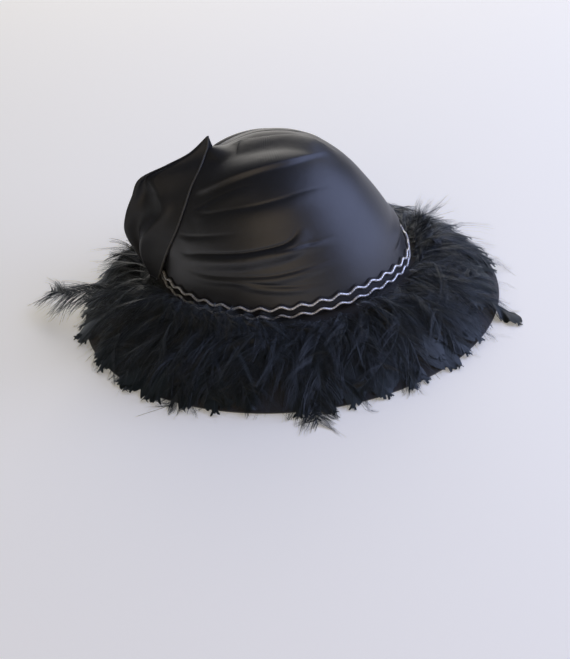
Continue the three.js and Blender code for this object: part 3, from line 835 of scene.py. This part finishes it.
# single feathers that stand out: angle and sweep in degrees, the rest in millimetres, vane as a share
looseFeather = {"vane": 0.0, "fluff": 0.35, "barbWidth": 0.14, "perSide": 150, "cling": 0.15}
longFeather = {
    "angle": 122, "root": 32, "length": 55, "lift": 17, "half": 13, "sweep": -10, "fluff": 0.16,
    "tipLift": 19, "keptIn": False, "perSide": 300, "perWisp": 1.4, "barbWidth": 0.2,
}
tuftColumns = ("angle", "root", "length", "lift", "half", "sweep", "tipLift")
tuftBehindTail = [dict(zip(tuftColumns, row)) for row in (
    (104, 12, 22, 12, 9, -2, 13), (110, 15, 20, 12, 9, 2, 11), (98, 10, 22, 10, 8, 4, 8),
    (114, 15, 26, 10, 10, 3, 7), (121, 14, 30, 10, 10, 3, 6), (128, 12, 30, 10, 10, 2, 6),
    (135, 8, 32, 9, 10, 2, 6), (143, 5, 34, 9, 10, -2, 5), (152, 3, 34, 8, 10, 3, 5),
)]
edgeFeathers = [
    {"angle": 129, "root": 30, "length": 52, "lift": 4, "half": 11, "sweep": -2, "vane": 0.6},
    {"angle": 176, "root": 38, "length": 38, "lift": 4, "half": 11, "sweep": -3, "keptIn": False},
    {"angle": 209, "root": 34, "length": 54, "lift": 5, "half": 11, "sweep": 2, "keptIn": False},
    {"angle": 214, "root": 30, "length": 58, "lift": 6, "half": 12, "sweep": -3},
    {"angle": 281, "root": 46, "length": 46, "lift": 4, "half": 8, "sweep": -7, "vane": 0.55,
     "keptIn": False},
]
# tufts that stand up over the braid: angle, and how far they rise
tuftFeather = {
    "root": 3, "length": 15, "half": 9, "vane": 0.0, "sweep": 6, "fluff": 0.7, "perSide": 110, "perWisp": 3,
}
risingTufts = [
    (147, 12), (153, 13), (159, 15), (165, 17), (171, 19), (176, 20), (181, 19), (187, 16), (193, 13),
    (236, 13), (243, 13), (292, 16), (298, 19), (304, 20), (310, 18),
]
trimEdge = {"halfWidth": 0.166, "halfLength": 0.179, "share": 0.42}    # feathers are drawn in past this
underTail = {"angle": 120, "press": 0.5, "from": 10, "to": 22}         # feathers lie flat under the tail
# barbs: widths in millimetres, angles from the shaft in degrees, cling as a share
barbs = {
    "perSide": 124, "segments": 4, "perWisp": 5, "cling": 0.24, "floor": 0.0006,
    "softAngle": 45, "vaneAngle": 33, "vaneWidth": 0.32, "softWidth": 0.1, "roundTip": 0.26,
}
# how much barbs differ, in degrees: slowly along the shaft, by wisp, one by one, in the vane and at a split
barbSpread = {"slow": 8, "wisp": 6, "single": 3.5, "vane": 2, "split": 5, "splitShare": 0.35}


def pick(pair):
    return random.uniform(*pair)


def slowNoise(count, knots):
    # random values that change slowly from one barb to the next
    return np.interp(np.linspace(0, knots - 1, count), np.arange(knots), random.normal(size=knots))


def shaftLine(row):
    # the shaft arches out over the brim; with its points come the directions along, beside and above it
    place = np.linspace(0, 1, 24)
    angle = np.radians(row["angle"] + row["sweep"] * place ** 1.6)
    reach = (row["root"] + row["length"] * place) * mm
    arch = np.sin(np.pi * np.clip(place * 0.95 + 0.08, 0, 1)) ** 0.8
    height = (1.5 + row["lift"] * arch + row.get("tipLift", 0) * place ** 2) * mm
    line = brimPoint(angle, reach, height)
    line[:, 2] = np.maximum(line[:, 2], barbs["floor"] * 2 + height - 1.5 * mm)
    tangent = unit(np.gradient(line, axis=0))
    upward = unit(brimPoint(angle, reach, height + mm) - brimPoint(angle, reach, height))
    sideways = unit(np.cross(upward, tangent))
    return place, line, tangent, sideways, np.cross(tangent, sideways)


def vaneOutline(place, start):
    # the vane's half width along the shaft, as a share of its full one, with a blunt round tip
    tip = barbs["roundTip"]
    end = np.sqrt(np.clip(1 - (np.clip(place - 1 + tip, 0, 1) / tip) ** 2, 0, 1))
    return smoothStep(place, start - 0.1, start + 0.2) * end


def drawTogether(curve, wisp, strength):
    # neighbouring barbs cling together towards their tips
    middle = np.zeros((wisp[-1] + 1,) + curve.shape[1:])
    np.add.at(middle, wisp, curve)
    middle /= np.bincount(wisp)[:, None, None]
    blend = strength[:, None, None] * (np.linspace(0, 1, curve.shape[1]) ** 1.2)[None, :, None]
    return curve + (middle[wisp] - curve) * blend


def drawUneven(count, perWisp):
    # what makes barbs differ: the wisp that each belongs to, and random values by wisp, single and slow
    wisp = np.cumsum(random.random(count) < 1 / perWisp)
    wisp -= wisp[0]
    byWisp = np.clip(random.normal(size=(wisp[-1] + 1, 6)), -2, 2)[wisp]
    single = np.clip(random.normal(size=count), -2, 2)
    slow = slowNoise(count, 7)
    splitPlace = random.uniform(0.5, 0.95)
    isSplit = random.random() < barbSpread["splitShare"]
    return wisp, byWisp, single, slow, splitPlace, isSplit


def barbLengths(row, at, vane, opening, bend, uneven):
    # soft barbs end raggedly, and a vane's barbs end on its outline
    soft = 1 - vane
    full = row["half"] / np.sin(opening)
    softTip = np.sqrt(np.clip(1 - (np.clip(at - 0.68, 0, 1) / 0.33) ** 2, 0.06, 1))
    softLength = full * uneven * softTip
    vaneLength = full
    for _ in range(8):
        reached = at + vaneLength * (np.cos(opening) + bend) / row["length"]
        vaneLength = (vaneLength + vaneOutline(reached, 1 - row["vane"]) * full) / 2
    return (vane * vaneLength + soft * np.maximum(softLength, 2)) * mm


def widened(curve, above, beside, vane, lean, row):
    # each barb's line made a thin flat ribbon, which leans over where it is soft
    soft = 1 - vane
    steps = np.linspace(0, 1, curve.shape[1])
    tilt = above + (soft * lean * 0.7)[:, None] * beside
    flat = unit(np.cross(np.gradient(curve, axis=1), tilt[:, None, :]))
    width = (vane * barbs["vaneWidth"] + soft * row.get("barbWidth", barbs["softWidth"])) * mm
    taper = vane[:, None] * (1 - 0.3 * steps ** 2) + soft[:, None] * (1 - 0.7 * steps)
    edge = flat * (width[:, None] * taper)[:, :, None]
    return np.stack([curve - edge, curve + edge], axis=2)


def barbHighlightTones(vane, byWisp, slow, steps, sideShadeAndTone):
    # some random soft wisps are painted paler to their tips as painted highlights on barb clumps, and the
    # vane gets faint random paler streaks
    paleHighlightAndTone = (1 - vane) * np.clip(0.4 * np.abs(byWisp) - 0.3, 0, 1) + vane * np.clip(0.06 + 0.05 * slow, 0, 1)
    return np.clip(paleHighlightAndTone + sideShadeAndTone, 0, 1)[:, None] * (0.4 + 0.8 * steps[None, :])


def barbSide(row, side, shaft):
    place, line, tangent, sideways, upward = shaft
    count = row.get("perSide", barbs["perSide"])
    at = np.linspace(0.03, 0.99, count)
    base, along, beside, above = (np.stack([np.interp(at, place, axis) for axis in values.T], axis=1)
                                  for values in (line, tangent, sideways, upward))
    start = 1 - row["vane"]
    vane = smoothStep(at, start - 0.1, start + 0.06) * (row["vane"] > 0.02)
    soft = 1 - vane
    wisp, byWisp, single, slow, splitPlace, isSplit = drawUneven(count, row.get("perWisp", barbs["perWisp"]))
    spread = barbSpread
    split = spread["split"] * np.tanh(12 * (splitPlace - at)) * isSplit
    softAngle = barbs["softAngle"] + spread["slow"] * slow + spread["wisp"] * byWisp[:, 0]
    softAngle = softAngle + spread["single"] * single
    vaneAngle = barbs["vaneAngle"] + spread["vane"] * slow + split
    opening = np.clip(np.radians(soft * softAngle + vane * vaneAngle), 0.25, 1.4)
    bend = soft * (0.5 + 0.2 * byWisp[:, 1]) + vane * 0.12
    length = barbLengths(row, at, vane, opening, bend, 1.1 + 0.2 * byWisp[:, 2] + 0.14 * single)
    rise = soft * row.get("fluff", 0.4) * (0.2 + 0.5 * np.abs(byWisp[:, 3]) + 0.2 * single)
    outward = beside * (side * np.sin(opening))[:, None]
    direction = unit(along * np.cos(opening)[:, None] + outward + above * rise[:, None])
    steps = np.linspace(0, 1, barbs["segments"] + 1)
    out = steps[None, :, None]
    droop = (soft * (0.3 + 0.2 * np.abs(byWisp[:, 4])) + vane * 0.12)[:, None, None]
    bent = along[:, None, :] * bend[:, None, None] * out ** 2
    hung = above[:, None, :] * droop * out ** 2.2
    curve = base[:, None, :] + length[:, None, None] * (direction[:, None, :] * out + bent - hung)
    curve = drawTogether(curve, wisp, soft * row.get("cling", barbs["cling"]))
    curve[:, :, 2] = np.maximum(curve[:, :, 2], barbs["floor"])
    ribbon = widened(curve, above, beside, vane, byWisp[:, 5], row)
    tone = barbHighlightTones(vane, byWisp[:, 4], slow, steps, row.get("tone", 0))
    return ribbon, np.repeat(vane, len(steps) * 2), np.repeat(tone.ravel(), 2)


def oneFeather(row):
    shaft = shaftLine(row)
    place, line, _, sideways, upward = shaft
    left, leftVane, leftTone = barbSide(row, -1.0, shaft)
    right, rightVane, rightTone = barbSide(row, 1.0, shaft)
    width = (0.4 * (1 - place) + 0.12)[:, None] * mm
    quill = np.stack([line - sideways * width, line + sideways * width], axis=1)
    quill = quill + upward[:, None, :] * 0.2 * mm
    points = np.concatenate([part.reshape(-1, 3) for part in (left, right, quill)])
    if row.get("keptIn", True):
        points = keepIn(points)
    number, long = len(left) + len(right), barbs["segments"] + 1
    vaneValues = np.concatenate([leftVane, rightVane, np.zeros(len(place) * 2)])
    toneValues = np.concatenate([leftTone, rightTone, np.full(len(place) * 2, 0.4)])
    faces = np.concatenate([stripFaces(number, long, 0), stripFaces(1, len(place), number * long * 2)])
    return points, faces, vaneValues, toneValues


def keepIn(points):
    # draws in what would reach past the trim's edge
    far = np.hypot(points[:, 0] / trimEdge["halfWidth"], points[:, 1] / trimEdge["halfLength"])
    near = 1 + (far - 1) * trimEdge["share"]
    points[:, :2] *= np.where(far > 1, near / np.maximum(far, 1e-9), 1)[:, None]
    return points


def stripFaces(number, long, start):
    # the faces of ribbons that are each two points wide and so many pairs long
    first = (np.arange(number) * long * 2)[:, None] + np.arange(long - 1)[None, :] * 2 + start
    first = first.ravel()
    return np.stack([first, first + 1, first + 3, first + 2], axis=1)


def meshFromFeathers(name, feathers):
    offset = 0
    allPoints, allFaces, allVane, allTone = [], [], [], []
    for points, faces, vane, tone in feathers:
        allPoints.append(points)
        allFaces.append(faces + offset)
        allVane.append(vane)
        allTone.append(tone)
        offset += len(points)
    points, faces = np.concatenate(allPoints), np.concatenate(allFaces)
    mesh = bpy.data.meshes.new(name)
    mesh.vertices.add(len(points))
    mesh.vertices.foreach_set("co", points.astype(np.float32).ravel())
    mesh.loops.add(len(faces) * 4)
    mesh.loops.foreach_set("vertex_index", faces.astype(np.int32).ravel())
    mesh.polygons.add(len(faces))
    mesh.polygons.foreach_set("loop_start", np.arange(len(faces), dtype=np.int32) * 4)
    mesh.update(calc_edges=True)
    for label, values in (("vane", allVane), ("tone", allTone)):
        attribute = mesh.attributes.new(label, "FLOAT", "POINT")
        attribute.data.foreach_set("value", np.concatenate(values).astype(np.float32))
    piece = bpy.data.objects.new(name, mesh)
    bpy.context.scene.collection.objects.link(piece)
    return piece


def tailPress(degrees):
    away = abs((degrees - underTail["angle"] + 180) % 360 - 180)
    free = float(smoothStep(away, underTail["from"], underTail["to"]))
    return underTail["press"] + (1 - underTail["press"]) * free


def makeLayer(layer):
    angles, reaches, tipLifts, thickness = np.array(trimOutline).T
    feathers = []
    for number in range(layer["count"]):
        degrees = 360 * (number + random.uniform(-0.5, 0.5)) / layer["count"] % 360
        press = tailPress(degrees) * float(np.interp(degrees, angles, thickness))
        root = pick(layer["root"])
        reach = float(np.interp(degrees, angles, reaches))
        feathers.append(oneFeather({
            "angle": degrees, "root": root, "length": reach - pick(layer["end"]) - root,
            "lift": pick(layer["lift"]) * press, "half": pick(layer["half"]), "vane": pick(layer["vane"]),
            "sweep": random.normal() * layer["sweep"] * 0.6, "fluff": layer["fluff"] * press,
            "tipLift": layer["tipLift"] + float(np.interp(degrees, angles, tipLifts)),
            # tone is random per feather, and 0.04 lower below 200 degrees: painted shade on the side turned
            # away from the cool window lamp
            "tone": random.uniform(-0.08, 0.08) - 0.04 * (degrees < 200),
        }))
    return meshFromFeathers(layer["name"], feathers)


def makeFeathers():
    for layer in featherLayers:
        piece = makeLayer(layer)
        finishPiece(piece, plume, "feather", *(["feather_trim"] if layer is featherLayers[0] else []))
        print(layer["name"], len(piece.data.polygons) * 2, "triangles")
    loose = [longFeather] + tuftBehindTail + edgeFeathers
    strays = [oneFeather({**looseFeather, **row}) for row in loose]
    for angle, rise in risingTufts:
        strays.append(oneFeather({**tuftFeather, "angle": angle, "lift": rise, "tipLift": rise * 0.5}))
    finishPiece(meshFromFeathers("feathers_stray", strays), plume, "feather")


makeFeathers()
print("feathers made")


# floor and light

floorLook = {"size": 12, "colour": (0.94, 0.91, 0.83, 1), "glow": (1.0, 0.98, 0.94, 1), "glowStrength": 0.2}
room = {"colour": (1.0, 1.0, 0.93, 1), "strength": 0.075}


def makeFloor(look):
    bpy.ops.mesh.primitive_plane_add(size=look["size"], location=(0, 0, 0))
    floor = bpy.context.object
    floor.name = "floor"
    material, nodes, links, shader = newMaterial("paleFloor")
    shader.inputs["Base Color"].default_value = look["colour"]
    shader.inputs["Emission Color"].default_value = look["glow"]
    shader.inputs["Emission Strength"].default_value = look["glowStrength"]
    shader.inputs["Roughness"].default_value = 0.9
    floor.data.materials.append(material)


# polar angle and elevation in degrees, distance and size in metres, power in watts
lights = [
    {"name": "coolWindow", "angle": 292, "elevation": 28, "distance": 1.7, "size": 2.1, "power": 40,
     "colour": (0.51, 0.60, 1.0)},
    {"name": "whiteWall", "angle": 25, "elevation": 25, "distance": 2.2, "size": 1.8, "power": 24,
     "colour": (1.0, 0.96, 0.90)},
    {"name": "warmRoom", "angle": 196, "elevation": 22, "distance": 2.2, "size": 1.8, "power": 10,
     "colour": (1.0, 0.80, 0.58)},
]
lightsAim = 0.07    # the height that they look at


def makeLight(row):
    data = bpy.data.lights.new(row["name"], "AREA")
    data.shape = "SQUARE"
    data.size = row["size"]
    data.energy = row["power"]
    data.color = row["colour"]
    lamp = bpy.data.objects.new(row["name"], data)
    bpy.context.scene.collection.objects.link(lamp)
    turn, tilt = math.radians(row["angle"]), math.radians(row["elevation"])
    away = Vector((math.cos(turn) * math.cos(tilt), math.sin(turn) * math.cos(tilt), math.sin(tilt)))
    lamp.location = away * row["distance"] + Vector((0, 0, lightsAim))
    lamp.rotation_euler = away.to_track_quat("Z", "Y").to_euler()


def lightRoom(look):
    world = bpy.data.worlds.new("room")
    bpy.context.scene.world = world
    world.use_nodes = True
    world.node_tree.nodes["Background"].inputs["Color"].default_value = look["colour"]
    world.node_tree.nodes["Background"].inputs["Strength"].default_value = look["strength"]
    bpy.context.scene.view_settings.view_transform = "Standard"


makeFloor(floorLook)
for lightRow in lights:
    makeLight(lightRow)
lightRoom(room)
print("floor and light made")
